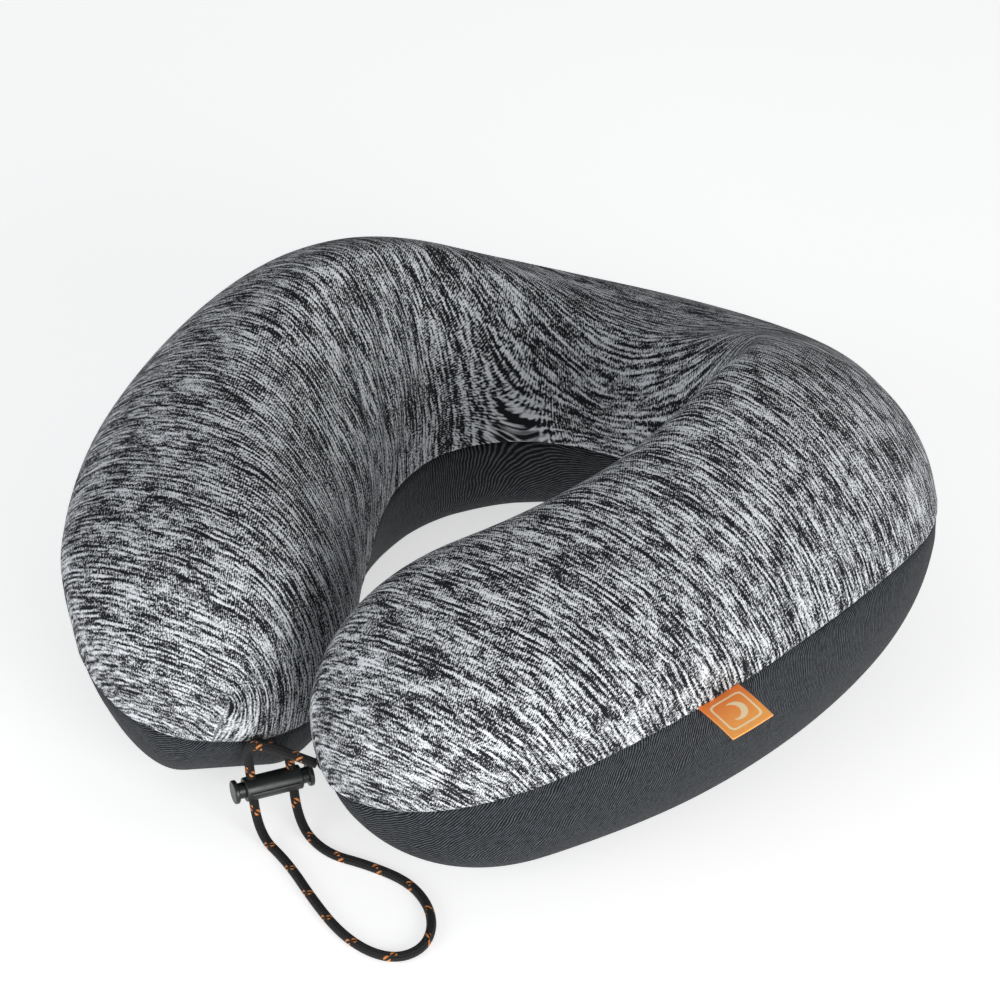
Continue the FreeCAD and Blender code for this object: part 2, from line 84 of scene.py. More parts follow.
class Paint:
    # one material; every node comes from add()
    def __init__(self, name):
        self.material = bpy.data.materials.new(name)
        self.material.use_nodes = True
        self.tree = self.material.node_tree
        self.tree.nodes.clear()

    def add(self, kind, settings=None, sockets=None, output=0):
        node = self.tree.nodes.new(kind)
        for key, value in (settings or {}).items():
            setattr(node, key, value)
        for key, value in (sockets or {}).items():
            if isinstance(value, Wire):
                self.tree.links.new(value.socket, node.inputs[key])
            else:
                node.inputs[key].default_value = value
        return None if output is None else Wire(self, node.outputs[output])

    def calc(self, operation, *values):
        return self.add("ShaderNodeMath", {"operation": operation}, dict(enumerate(values)))

    def split(self, vector):
        xyz = self.add("ShaderNodeSeparateXYZ", None, {0: vector}).socket.node
        return [Wire(self, xyz.outputs[i]) for i in range(3)]

    def join(self, x, y, z=0.0):
        return self.add("ShaderNodeCombineXYZ", None, {0: x, 1: y, 2: z})

    def place(self):
        return self.add("ShaderNodeTexCoord", output="Object")

    def uv(self, name):
        return self.split(self.add("ShaderNodeUVMap", {"uv_map": name}))

    def noise(self, vector, scale, detail=2.0, roughness=0.5, flat=False):
        return self.add("ShaderNodeTexNoise", {"noise_dimensions": "2D" if flat else "3D"},
                        {"Vector": vector, "Scale": scale, "Detail": detail, "Roughness": roughness})

    def step(self, value, low, high):
        # 0 below low, 1 above high, smooth between
        return self.add("ShaderNodeMapRange", {"interpolation_type": "SMOOTHSTEP"},
                        {"Value": value, "From Min": low, "From Max": high})

    def sine(self, value):
        return self.calc("SINE", value)

    def ridge(self, value):
        # 0 at whole numbers, 1 half way between
        return 1.0 - abs(value % 1.0 - 0.5) * 2.0

    def root(self, value):
        return self.calc("SQRT", value)

    def mix(self, share, first, second):
        # sockets 6 and 7 and output 2 are the colour ones
        return self.add("ShaderNodeMix", {"data_type": "RGBA"},
                        {0: share, 6: rgba(first), 7: rgba(second)}, 2)

    def bump(self, height, depth, strength=1.0):
        return self.add("ShaderNodeBump", None,
                        {"Height": height, "Distance": depth, "Strength": strength}, "Normal")

    def finish(self, **sockets):
        names = {key.replace("_", " "): rgba(value) if "Color" in key else value
                 for key, value in sockets.items()}
        self.add("ShaderNodeOutputMaterial", None, {0: self.add("ShaderNodeBsdfPrincipled", None, names)},
                 output=None)
        return self.material


def rgba(value):
    return (*value, 1.0) if isinstance(value, tuple) and len(value) == 3 else value


# the draw cord, from one arm tip through the lock and back
cord = {
    "diameter": 3.2 * mm,
    "sides": 24,
    "ringStep": 0.55 * mm,
    "strandTurn": 10.5 * mm,    # one braid strand goes round the cord in this length
    "strands": 10,              # in each direction
    "fleckEvery": 14.6 * mm,
    "fleckTurn": 0.8,
    # painted shade in the gaps between the braid strands
    "shadeInGaps": (0.001, 0.001, 0.001),
    "black": (0.016, 0.0155, 0.016),
    "orange": (0.72, 0.13, 0.012),
    "pale": (0.95, 0.45, 0.12),
    "firstPatch": (0.30, 0.44),     # shares of the fleck spacing
    "secondPatch": (0.43, 0.57),
}
lockCentre = Vector((-9.2, -137.0, 18.0))
lockAxis = Vector((0.6, 0.8, 0.0))
strandDown = Vector((0.16, -0.12, -0.98))
floorZ = 1.65
strandTop = 7.6
strandFoot = (lockCentre.z - floorZ) / -strandDown.z
holeOffset = 7.0
leftHole, rightHole = lockCentre - lockAxis * holeOffset, lockCentre + lockAxis * holeOffset
tackProud = 1.2
nearNormal, farNormal = Vector((-0.74, -0.56, -0.37)), Vector((0.74, -0.56, -0.37))
nearExit = Vector((12.4, -139.8, 35.9)) + nearNormal * tackProud
farExit = Vector((-12.4, -139.8, 35.9)) + farNormal * tackProud
cordRoute = [nearExit, Vector((6.0, -141.4, 36.4)), Vector((-3.0, -142.2, 37.0)),
             Vector((-13.2, -144.4, 37.2)),
             leftHole - strandDown * strandTop, leftHole + strandDown * strandFoot]
cordRoute += [Vector((x, y, floorZ)) for x, y in (
    (7.0, -152.8), (25.0, -165.0), (41.5, -174.6), (55.5, -178.4), (65.0, -176.2), (69.0, -168.0),
    (66.0, -157.5), (58.0, -148.0), (46.0, -141.4), (30.0, -140.6), (14.5, -142.4))]
cordRoute += [rightHole + strandDown * strandFoot, rightHole - strandDown * strandTop,
              Vector((-5.5, -134.0, 30.5)), Vector((-8.4, -139.2, 34.8)), farExit]
cordRoute = [point * mm for point in cordRoute]


def meshObject(name, points, faces):
    mesh = bpy.data.meshes.new(name)
    mesh.from_pydata([tuple(p) for p in points], [], faces)
    mesh.update()
    made = bpy.data.objects.new(name, mesh)
    scene.collection.objects.link(made)
    return made


def routeLine(name, route):
    # the smooth line of a route, as closely spaced points
    curve = bpy.data.curves.new(name, "CURVE")
    curve.dimensions = "3D"
    spline = curve.splines.new("NURBS")
    spline.points.add(len(route) - 1)
    for point, place in zip(spline.points, route):
        point.co = (*place, 1.0)
    spline.order_u = 3
    spline.use_endpoint_u = True
    spline.resolution_u = 24
    holder = bpy.data.objects.new(name, curve)
    scene.collection.objects.link(holder)
    bpy.context.view_layer.update()
    line = bpy.data.meshes.new_from_object(holder.evaluated_get(bpy.context.evaluated_depsgraph_get()))
    places = np.array([v.co for v in line.vertices])
    bpy.data.objects.remove(holder)
    return places


def evenly(places, step):
    # the same line with its points a fixed step apart, and the distance along it
    reach = np.concatenate([[0.0], np.cumsum(np.linalg.norm(np.diff(places, axis=0), axis=1))])
    count = max(2, int(round(reach[-1] / step)) + 1)
    along = np.linspace(0.0, reach[-1], count)
    return np.stack([np.interp(along, reach, places[:, i]) for i in range(3)], axis=1), along


def sweepTube(name, places, along, radius, sides):
    # tube whose rings turn as little as possible; its UV is (metres along, turns round)
    tangents = np.gradient(places, axis=0)
    tangents /= np.linalg.norm(tangents, axis=1)[:, None]
    side = np.cross(tangents[0], (0.0, 0.0, 1.0))
    side /= np.linalg.norm(side)
    points = []
    for centre, tangent in zip(places, tangents):
        side = side - tangent * side.dot(tangent)
        side /= np.linalg.norm(side)
        up = np.cross(tangent, side)
        for k in range(sides):
            turn = 2 * math.pi * k / sides
            points.append(centre + radius * (math.cos(turn) * side + math.sin(turn) * up))
    faces, corners = [], []
    for i in range(len(places) - 1):
        for k in range(sides):
            ring, nextRing, after = i * sides, (i + 1) * sides, (k + 1) % sides
            faces.append((ring + k, ring + after, nextRing + after, nextRing + k))
            u0, u1, v0, v1 = along[i], along[i + 1], k / sides, (k + 1) / sides
            corners += [(u0, v0), (u0, v1), (u1, v1), (u1, v0)]
    last = (len(places) - 1) * sides
    faces += [tuple(reversed(range(sides))), tuple(last + k for k in range(sides))]
    corners += [(along[0], 0.5)] * sides + [(along[-1], 0.5)] * sides
    tube = meshObject(name, points, faces)
    layer = tube.data.uv_layers.new(name="along")
    layer.data.foreach_set("uv", np.array(corners).ravel())
    for polygon in tube.data.polygons:
        polygon.use_smooth = True
    return tube


def braidedCord():
    # two families of strands pass over and under each other round the sheath
    paint = Paint("braidedCord")
    along, around, unused = paint.uv("along")
    turns = along * (1.0 / cord["strandTurn"])
    first = (turns + around) * cord["strands"]
    second = (turns - around) * cord["strands"]
    over = paint.step(paint.sine(turns * (2.0 * cord["strands"]) * math.pi), -0.3, 0.3)
    firstHigh, secondHigh = paint.ridge(first), paint.ridge(second)
    height = over * firstHigh + (1.0 - over) * secondHigh
    # tracer yarns surface in pairs of patches, one on each half of the cord
    phase = (along * (1.0 / cord["fleckEvery"])) % 1.0
    half = paint.sine(around * (4.0 * math.pi) + cord["fleckTurn"])
    upperStart, upperEnd = cord["firstPatch"]
    lowerStart, lowerEnd = cord["secondPatch"]
    upper = paint.step(half, 0.0, 0.35) * (phase > upperStart) * (phase < upperEnd)
    lower = paint.step(-half, 0.0, 0.35) * (phase > lowerStart) * (phase < lowerEnd)
    tracer = (upper + lower) * paint.step(paint.ridge(first * 0.5), 0.42, 0.62)
    fuzz = paint.noise(paint.place(), 2600.0, 2.0)
    # painted shade: where the strands dip, in the gaps between them, the colour is painted darker than the
    # black yarn
    dark = paint.mix(height * 0.75 + fuzz * 0.25, cord["shadeInGaps"], cord["black"])
    glow = paint.mix(fuzz, cord["orange"], cord["pale"])
    return paint.finish(Base_Color=paint.mix(tracer, dark, glow), Roughness=0.7,
                        Normal=paint.bump(height * 0.9 + fuzz * 0.1, 0.4 * mm))


cordLine, cordAlong = evenly(routeLine("drawCordLine", cordRoute), cord["ringStep"])
drawCord = sweepTube("drawCord", cordLine, cordAlong, cord["diameter"] / 2, cord["sides"])
drawCord.data.materials.append(braidedCord())
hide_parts("draw_cord")
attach(drawCord, "pillow")
print("cord laid", round(cordAlong[-1] * 1000, 1))


# the cover and the zip in its seam
zipper = {                      # millimetres
    "opening": 2.9,
    "reach": 56.5,              # half its length, along the cushion's centre line
    "taper": 3.0,
    "seamZ": 42.0,
    "pitch": 1.5,
    "halfAngle": 37.0,          # degrees
}
pillow = {                      # millimetres and degrees
    "arcCentreY": 31.0,
    "backRadius": 83.0,
    "backAngle": 89.0,
    "armRadius": 266.0,
    "armAngle": 42.5,
    "tipDome": 63.0,
    "tipCentreZ": 54.5,
    # at fractions of the way from the middle of the back to the end of an arm
    "outerReach": ((0.22, 46.0), (0.30, 52.5), (0.42, 61.0), (0.64, 63.0), (0.88, 55.0)),
    "innerReach": ((0.0, 43.9), (0.42, 27.6), (0.64, 37.7), (0.88, 44.6)),
    "crownHeight": ((0.0, 82.8), (0.42, 126.0), (0.64, 118.0), (0.88, 105.0)),
    "crownReach": ((0.0, -23.0), (0.42, -3.0), (0.64, 6.5), (0.88, -4.5)),
    "outerWidest": ((0.18, 50.0), (0.42, 58.0), (0.64, 67.0), (0.88, 73.0)),
    "innerWidest": ((0.0, 55.0), (0.88, 49.4)),
    "outerSeam": ((0.18, 42.0), (0.42, 67.0), (0.62, 69.5), (0.90, 46.0), (1.0, 39.0)),
    "innerSeam": ((0.5, 37.5), (0.85, 25.0), (1.0, 33.0)),
    "flatShare": 0.39,
    "topFullness": 0.55,
    "baseFullness": 0.52,
    "innerEase": 0.8,           # the top cloth is eased in on its inner side by this much
    "tipDrape": 57.0,
    "leastTipScale": 0.225,
    # mesh
    "curveSteps": 40,           # points on each quarter of the section
    "flatSteps": 20,
    "around": 100,
    "bodySteps": 132,
    "domeSteps": 20,
    # filling
    "startInset": 1.0,
    "pressure": 7.0,
    "mostSwell": 5.0,
    "mostSink": 0.3,
    "heldAtSeam": 2.2,
    "heldAtFloor": 0.6,
    "clothMass": 0.15,
    "clothStretch": 12.0,
    "clothBend": 0.4,
    "frames": 20,
}
backLength = pillow["backRadius"] * math.radians(pillow["backAngle"])
halfLength = backLength + pillow["armRadius"] * math.radians(pillow["armAngle"])
domeStart = halfLength - pillow["tipDome"]


def smoothTable(table, fraction):
    # a smooth line through the pairs, level outside its ends
    if fraction <= table[0][0]:
        return table[0][1]
    if fraction >= table[-1][0]:
        return table[-1][1]
    slopes = [0.0] + [(c[1] - a[1]) / (c[0] - a[0]) for a, c in zip(table, table[2:])] + [0.0]
    for (x0, y0), (x1, y1), m0, m1 in zip(table, table[1:], slopes, slopes[1:]):
        if fraction <= x1:
            width = x1 - x0
            t = (fraction - x0) / width
            return (y0 + (y1 - y0) * t * t * (3 - 2 * t) + width * m0 * t * (1 - t) ** 2
                    - width * m1 * t * t * (1 - t))


def planFrame(s):
    # a place on the centre line, the outward direction and the direction towards the tip
    side = 1.0 if s >= 0 else -1.0
    distance, radius = abs(s), pillow["backRadius"]
    turn = distance / radius
    x, y = radius * math.sin(turn), radius * math.cos(turn)
    if distance > backLength:
        start, arm = math.radians(pillow["backAngle"]), pillow["armRadius"]
        turn = start + (distance - backLength) / arm
        x = radius * math.sin(start) + arm * (math.sin(turn) - math.sin(start))
        y = radius * math.cos(start) + arm * (math.cos(turn) - math.cos(start))
    return (np.array((side * x, pillow["arcCentreY"] + y)),
            np.array((side * math.sin(turn), math.cos(turn))),
            np.array((side * math.cos(turn), -math.sin(turn))))


def tipScale(s):
    depth = max(0.0, (abs(s) - domeStart) / pillow["tipDome"])
    return math.sqrt(max(0.0, 1.0 - depth * depth))


def conicCurve(start, corner, end, fullness):
    t = np.linspace(0.0, 1.0, pillow["curveSteps"], endpoint=False)[:, None]
    a, b, c = (1 - t) ** 2, 2 * fullness * t * (1 - t), t * t
    return (a * start + b * corner + c * end) / (a + b + c)


def sectionAt(s):
    # the cushion's outline across its centre line: (reach, height) pairs, evenly spaced, and where
    # each lies on the two cloths: sideways from the centre line, along the surface
    fraction = abs(s) / halfLength
    outer, inner, height, crown, outerZ, innerZ = [smoothTable(pillow[key], fraction) for key in (
        "outerReach", "innerReach", "crownHeight", "crownReach", "outerWidest", "innerWidest")]
    right, left = outer * pillow["flatShare"], -inner * pillow["flatShare"]
    at = lambda x, z: np.array((x, z))
    top, base = pillow["topFullness"], pillow["baseFullness"]
    line = np.concatenate([
        conicCurve(at(right, 0), at(outer, 0), at(outer, outerZ), base),
        conicCurve(at(outer, outerZ), at(outer, height), at(crown, height), top),
        conicCurve(at(crown, height), at(-inner, height), at(-inner, innerZ), top),
        conicCurve(at(-inner, innerZ), at(-inner, 0), at(left, 0), base),
        np.linspace(at(left, 0), at(right, 0), pillow["flatSteps"])])
    line[:, 0] *= tipScale(s)
    line[:, 1] = pillow["tipCentreZ"] + (line[:, 1] - pillow["tipCentreZ"]) * tipScale(s)
    reach = np.concatenate([[0.0], np.cumsum(np.linalg.norm(np.diff(line, axis=0), axis=1))])
    steps = np.linspace(0.0, reach[-1], pillow["around"], endpoint=False)
    crownStep = reach[2 * pillow["curveSteps"]]
    onTop = crown + np.where(steps < crownStep, 1.0, pillow["innerEase"]) * (crownStep - steps)
    onBase = right + np.where(steps < crownStep, steps, steps - reach[-1])
    outline = np.stack([np.interp(steps, reach, line[:, i]) for i in range(2)], axis=1)
    return outline, onTop, onBase, crown


def seamRise(s, reach, z):
    # height above the seam between the panels
    fraction, margin = abs(s) / halfLength, 4.0
    outer, inner, outerZ, innerZ = [smoothTable(pillow[key], fraction) for key in (
        "outerReach", "innerReach", "outerSeam", "innerSeam")]
    scale = max(tipScale(s), pillow["leastTipScale"])
    right, left = outer * scale + margin, -inner * scale - margin
    return z - (innerZ + (outerZ - innerZ) * (reach - left) / (right - left))


def zipOpening(s, reach):
    # how far each panel's edge stands back from the seam, along the zip
    share = min(1.0, max(0.0, (zipper["reach"] - abs(s)) / zipper["taper"]))
    return zipper["opening"] * share if reach > 0 else 0.0


def stationList():
    body = list(np.linspace(-domeStart, domeStart, pillow["bodySteps"] + 1))
    turns = np.linspace(0.0, 90.0, pillow["domeSteps"] + 1)[1:-1]
    dome = [domeStart + pillow["tipDome"] * math.sin(math.radians(turn)) for turn in turns]
    return [-s for s in reversed(dome)] + body + dome


def onCloth(s, reach, along):
    # where a point of the long body lies on its cloth, which was cut with its grain along X
    centre, outward, ahead = planFrame(s)
    past = min(1.0, max(0.0, (-outward[1]) / 0.4))
    shareV = outward[1] ** 2 if outward[1] > 0 else past * past * (3 - 2 * past)
    shareU = outward[0] ** 2 if outward[1] > 0 else 1.0
    return (centre[0] + outward[0] * (reach + (along - reach) * shareU),
            centre[1] + outward[1] * (reach + (along - reach) * shareV))


def onTipCloth(s, crown, along):
    # the same for the rounded end of an arm, where the cloth drapes down from the crown
    centre, outward, ahead = planFrame(math.copysign(domeStart, s))
    radius = pillow["tipDrape"]
    down = math.asin(min(1.0, (abs(s) - domeStart) / pillow["tipDome"]))
    turn = (along - crown) / radius
    forward, sideways = math.sin(down), math.cos(down) * math.sin(turn)
    polar = math.acos(max(-1.0, min(1.0, math.cos(down) * math.cos(turn))))
    length = radius * polar / max(1e-6, math.hypot(forward, sideways))
    return centre + outward * (crown + length * sideways) + ahead * length * forward


def coverForm():
    # the closed form of the stuffed cover, each point's rise above the seam and its place on the cloths
    points, values, faces = [], [], []
    stations, around = stationList(), pillow["around"]
    startTop, startBase, startCrown = sectionAt(domeStart)[1:]
    for s in stations:
        centre, outward, ahead = planFrame(s)
        outline, onTop, onBase, crown = sectionAt(s)
        for k, (reach, z) in enumerate(outline):
            points.append((*(centre + outward * reach), z))
            if abs(s) <= domeStart:
                places = (*onCloth(s, reach, onTop[k]), *onCloth(s, reach, onBase[k]))
            else:
                places = (*onTipCloth(s, startCrown, startTop[k]), *onTipCloth(s, 0.0, startBase[k]))
            rise, opening = seamRise(s, reach, z), zipOpening(s, reach)
            values.append((rise - opening, rise + opening, s, *places))
    for i in range(len(stations) - 1):
        for k in range(around):
            after = (k + 1) % around
            faces.append((i * around + k, i * around + after,
                          (i + 1) * around + after, (i + 1) * around + k))
    lastRing = (len(stations) - 1) * around
    for s, ring, turned in ((-halfLength, 0, False), (halfLength, lastRing, True)):
        points.append((*planFrame(s)[0], pillow["tipCentreZ"]))
        rise = seamRise(s, 0.0, pillow["tipCentreZ"])
        values.append((rise, rise, s, *onTipCloth(s, startCrown, startCrown), *onTipCloth(s, 0.0, 0.0)))
        for k in range(around):
            pair = (ring + k, ring + (k + 1) % around)
            faces.append((pair[0], len(points) - 1, pair[1]) if not turned else (*pair, len(points) - 1))
    form = meshObject("coverForm", np.array(points) * mm, faces)
    for name, column in zip(("topRise", "baseRise", "run", "topU", "topV", "baseU", "baseV"),
                            np.array(values).T * mm):
        form.data.attributes.new(name, "FLOAT", "POINT").data.foreach_set("value", column)
    return form


def readPoints(mesh):
    flat = np.empty(len(mesh.vertices) * 3)
    mesh.vertices.foreach_get("co", flat)
    return flat.reshape(-1, 3)


def writePoints(mesh, points):
    mesh.vertices.foreach_set("co", points.ravel())
    mesh.update()


def readNormals(mesh):
    flat = np.empty(len(mesh.vertices) * 3)
    mesh.vertices.foreach_get("normal", flat)
    return flat.reshape(-1, 3)


def readValue(mesh, name):
    values = np.empty(len(mesh.vertices))
    mesh.attributes[name].data.foreach_get("value", values)
    return values


def stuff(form):
    # cloth under pressure, held along the seam and where it rests on the table
    rest, normals = readPoints(form.data), readNormals(form.data)
    rise = np.minimum(np.abs(readValue(form.data, "topRise")), np.abs(readValue(form.data, "baseRise")))
    held = (rise < pillow["heldAtSeam"] * mm) | (rest[:, 2] < pillow["heldAtFloor"] * mm)
    start = rest - normals * (pillow["startInset"] * mm * ~held)[:, None]
    start[:, 2] = np.maximum(start[:, 2], 0.0)
    writePoints(form.data, start)
    form.vertex_groups.new(name="held").add([int(i) for i in np.flatnonzero(held)], 1.0, "REPLACE")
    cloth = form.modifiers.new("cloth", "CLOTH")
    cloth.settings.quality = 5
    cloth.settings.mass = pillow["clothMass"]
    cloth.settings.tension_stiffness = pillow["clothStretch"]
    cloth.settings.compression_stiffness = pillow["clothStretch"]
    cloth.settings.bending_stiffness = pillow["clothBend"]
    cloth.settings.use_pressure = True
    cloth.settings.uniform_pressure_force = pillow["pressure"]
    cloth.settings.vertex_group_mass = "held"
    cloth.settings.effector_weights.gravity = 0.0
    for number in range(1, pillow["frames"] + 1):
        scene.frame_set(number)
    evaluated = form.evaluated_get(bpy.context.evaluated_depsgraph_get())
    moved = readPoints(evaluated.data) - start
    form.modifiers.remove(cloth)
    scene.frame_set(1)
    swell = np.linalg.norm(moved, axis=1)
    moved *= np.minimum(1.0, pillow["mostSwell"] * mm / np.maximum(swell, 1e-9))[:, None]
    final = start + moved
    # the foam inside keeps the cloth from sinking far below its own form
    proud = ((final - rest) * normals).sum(axis=1)
    final += normals * np.maximum(0.0, -pillow["mostSink"] * mm - proud)[:, None]
    final[:, 2] = np.maximum(final[:, 2], 0.0)
    print("cover stands proud by", [round(float(v), 2) for v in np.percentile(proud / mm, (5, 50, 95))])
    writePoints(form.data, final)


def deselectAll():
    for other in bpy.context.selected_objects:
        other.select_set(False)


def onlySelect(thing):
    deselectAll()
    thing.select_set(True)
    bpy.context.view_layer.objects.active = thing


def cutAlong(bm, layer, level):
    # adds an edge line where the layer has this value
    close = 0.06 * mm
    for vertex in bm.verts:
        if abs(vertex[layer] - level) < close:
            vertex[layer] = level
    crossing = [e for e in bm.edges if (e.verts[0][layer] - level) * (e.verts[1][layer] - level) < 0]
    for edge in crossing:
        a, b = edge.verts
        unused, vertex = bmesh.utils.edge_split(edge, a, (level - a[layer]) / (b[layer] - a[layer]))
        vertex[layer] = level
    touched = {f for v in bm.verts if v[layer] == level for f in v.link_faces}
    for face in touched:
        onLine = [v for v in face.verts if v[layer] == level]
        if len(onLine) == 2 and bm.edges.get(onLine) is None:
            bmesh.utils.face_split(face, *onLine)


seam = {                        # millimetres
    "rows": (0.5, 1.2, 2.4, 4.2),
    "topProfile": ((0.0, -1.0), (0.5, -0.25), (1.2, 0.15), (2.4, 0.3), (4.2, 0.15), (7.0, 0.0)),
    "baseProfile": ((0.0, -1.0), (0.5, -0.75), (1.2, -0.45), (2.4, -0.2), (4.2, 0.0), (7.0, 0.0)),
    "allowance": 2.5,
    "blend": 12.0,
    "gather": 0.006,            # metres between puckers
    "pucker": 0.45,
}


def panel(form, name, side, riseName, uvNames, profile):
    # one panel of the cover, with its edge rolled into the seam; side is 1 above the seam, -1 below
    bm = bmesh.new()
    bm.from_mesh(form.data)
    rise, run = (bm.verts.layers.float[key] for key in (riseName, "run"))
    cutAlong(bm, rise, 0.0)
    for row in seam["rows"]:
        cutAlong(bm, rise, side * row * mm)
    bmesh.ops.delete(bm, geom=[f for f in bm.faces if sum(v[rise] for v in f.verts) * side < 0],
                     context="FACES")
    bm.normal_update()
    for vertex in bm.verts:
        far = vertex[rise] * side / mm
        if far < seam["blend"]:
            depth = float(np.interp(far, [p[0] for p in profile], [p[1] for p in profile]))
            gather = noise.noise((vertex[run] / seam["gather"], side * 3.0, 0.5))
            depth += seam["pucker"] * gather * math.sin(math.pi * min(1.0, far / seam["blend"]))
            vertex.co += vertex.normal * depth * mm
    bm.normal_update()
    edges = [e for e in bm.edges if e.is_boundary]
    grown = bmesh.ops.extrude_edge_only(bm, edges=edges)
    for vertex in (g for g in grown["geom"] if isinstance(g, bmesh.types.BMVert)):
        twin = next(e.other_vert(vertex) for e in vertex.link_edges if not e.is_boundary)
        vertex.co = twin.co - twin.normal * seam["allowance"] * mm
        vertex[rise] = -side * seam["allowance"] * mm
    clothUv, seamUv = bm.loops.layers.uv.new("cloth"), bm.loops.layers.uv.new("seam")
    first, second = (bm.verts.layers.float[key] for key in uvNames)
    for face in bm.faces:
        face.smooth = True
        for loop in face.loops:
            loop[clothUv].uv = (loop.vert[first], loop.vert[second])
            loop[seamUv].uv = (loop.vert[rise] * side, loop.vert[run])
    mesh = bpy.data.meshes.new(name)
    bm.to_mesh(mesh)
    bm.free()
    made = bpy.data.objects.new(name, mesh)
    scene.collection.objects.link(made)
    return made


coverBody = coverForm()
stuff(coverBody)
onlySelect(coverBody)
coverBody.modifiers.new("finer", "SUBSURF").levels = 1
coverBody.modifiers["finer"].render_levels = 1
bpy.ops.object.modifier_apply(modifier="finer")
topPanel = panel(coverBody, "coverTopPanel", 1.0, "topRise", ("topU", "topV"), seam["topProfile"])
basePanel = panel(coverBody, "coverBasePanel", -1.0, "baseRise", ("baseU", "baseV"), seam["baseProfile"])
bpy.data.objects.remove(coverBody)
print("cover made", len(topPanel.data.polygons), len(basePanel.data.polygons))

knit = {                        # streak sizes are (along, across), in cycles a metre
    "longStreak": (55.0, 640.0),
    "shortStreak": (190.0, 820.0),
    "patch": (60.0, 110.0),
    "grain": (1500.0, 1150.0),
    "wander": 2.2 * mm,
    "lightFrom": -0.30,
    "lightTo": 0.66,
    "dark": (0.010, 0.011, 0.014),
    "light": (0.80, 0.82, 0.85),
    "course": 1.75 * mm,
    "stitch": 0.72 * mm,
}


def heatherKnit():
    # light yarn comes and goes along every course, and each loop shows as a small tick
    paint = Paint("heatherKnit")
    u, v, unused = paint.uv("cloth")
    wander = paint.noise(paint.join(u, v), 38.0, 2.0, flat=True) - 0.5
    v = v + wander * knit["wander"]
    stretched = lambda size, detail, roughness: paint.noise(
        paint.join(u * size[0], v * size[1]), 1.0, detail, roughness, flat=True)
    longStreaks = stretched(knit["longStreak"], 2.0, 0.55)
    short = stretched(knit["shortStreak"], 1.0, 0.5)
    patch = stretched(knit["patch"], 1.0, 0.5)
    grain = stretched(knit["grain"], 1.0, 0.6)
    rows = paint.sine(v * (2 * math.pi / knit["course"])) * 0.5 + 0.5
    ticks = paint.sine((u + v * 0.35) * (2 * math.pi / knit["stitch"])) * 0.5 + 0.5
    yarn = ((longStreaks - 0.5) * 2.1 + (short - 0.5) * 1.5 + (patch - 0.5) * 0.7
            + (rows - 0.5) * 0.34)
    loops = (grain - 0.5) * 2.2 + (ticks - 0.5) * 0.45
    light = paint.step(yarn + loops, knit["lightFrom"], knit["lightTo"])
    color = paint.mix(light, knit["dark"], knit["light"])
    height = light * 0.35 + rows * 0.35 + ticks * 0.3
    return paint.finish(Base_Color=color, Roughness=0.93, Specular_IOR_Level=0.2,
                        Normal=paint.bump(height, 0.3 * mm, 0.8))


twill = {
    "rib": 0.95 * mm,
    "slant": 0.25,
    "wander": 4.0 * mm,
    # the cloth is near black: dark is the painted shade in the rib hollows, light the painted highlight on
    # the rib crests
    "dark": (0.003, 0.0033, 0.0038),
    "light": (0.098, 0.108, 0.122),
}


def charcoalTwill():
    # fine ribs across the cloth, with a little sheen
    paint = Paint("charcoalTwill")
    u, v, unused = paint.uv("cloth")
    wander = paint.noise(paint.join(u, v), 60.0, 2.0, flat=True) * twill["wander"]
    ribs = paint.sine((v + u * twill["slant"] + wander) * (2 * math.pi / twill["rib"])) * 0.5 + 0.5
    thick = paint.noise(paint.join(u * 260.0, v * 1300.0), 1.0, 1.0, flat=True)
    fuzz = paint.noise(paint.place(), 1300.0, 2.0)
    height = ribs * 0.42 + thick * 0.28 + fuzz * 0.3
    # painted highlight and painted shade: the rib crests and slubs are painted lighter and the hollows near
    # black, following the bump height; the fuzz adds random tone
    color = paint.mix(paint.step(height, 0.42, 0.80), twill["dark"], twill["light"])
    return paint.finish(Base_Color=color, Roughness=0.7, Specular_IOR_Level=0.12,
                        Sheen_Weight=0.015, Sheen_Roughness=0.4,
                        Normal=paint.bump(height, 0.25 * mm, 0.7))


for cloth, node, finish, slotName in ((topPanel, "cover_top_panel", heatherKnit(), "heather_jersey"),
                                      (basePanel, "cover_base_panel", charcoalTwill(), "charcoal_twill")):
    cloth.data.materials.append(finish)
    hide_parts(node)
    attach(cloth, "pillow")

def wallReach(s, z):
    # sideways distance of the outer wall at a height below its widest line
    fraction, base, sink = abs(s) / halfLength, pillow["baseFullness"], 0.5
    outer, widest = (smoothTable(pillow[key], fraction) for key in ("outerReach", "outerWidest"))
    ratio = (widest + sink) / (z + sink)
    r = math.sqrt(base ** 2 - 1 + ratio) - base
    shoulder = 1 + 2 * base * r
    return (outer * shoulder + outer * pillow["flatShare"] * r * r) / (shoulder + r * r)


def dress(made, finish, *nodes, body="pillow", slotName=None):
    # material, body and the CAD nodes that the piece stands for
    made.data.materials.clear()
    made.data.materials.append(finish)
    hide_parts(*nodes)
    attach(made, body)


def applyAll(thing):
    onlySelect(thing)
    for modifier in list(thing.modifiers):
        bpy.ops.object.modifier_apply(modifier=modifier.name)


wovenLabel = {                  # millimetres; places are fractions of the way to an arm's end
    "from": 0.664, "to": 0.7035, "root": -1.4, "length": 18.0, "droop": 0.21, "curl": 0.7, "thickness": 0.8,
    "columns": 36, "rows": 40,
}
careLabel = {
    "from": -0.31, "to": -0.255, "root": -0.8, "length": 24.5, "droop": 5.0, "curl": 1.2, "thickness": 0.4,
    "columns": 30, "rows": 40,
}


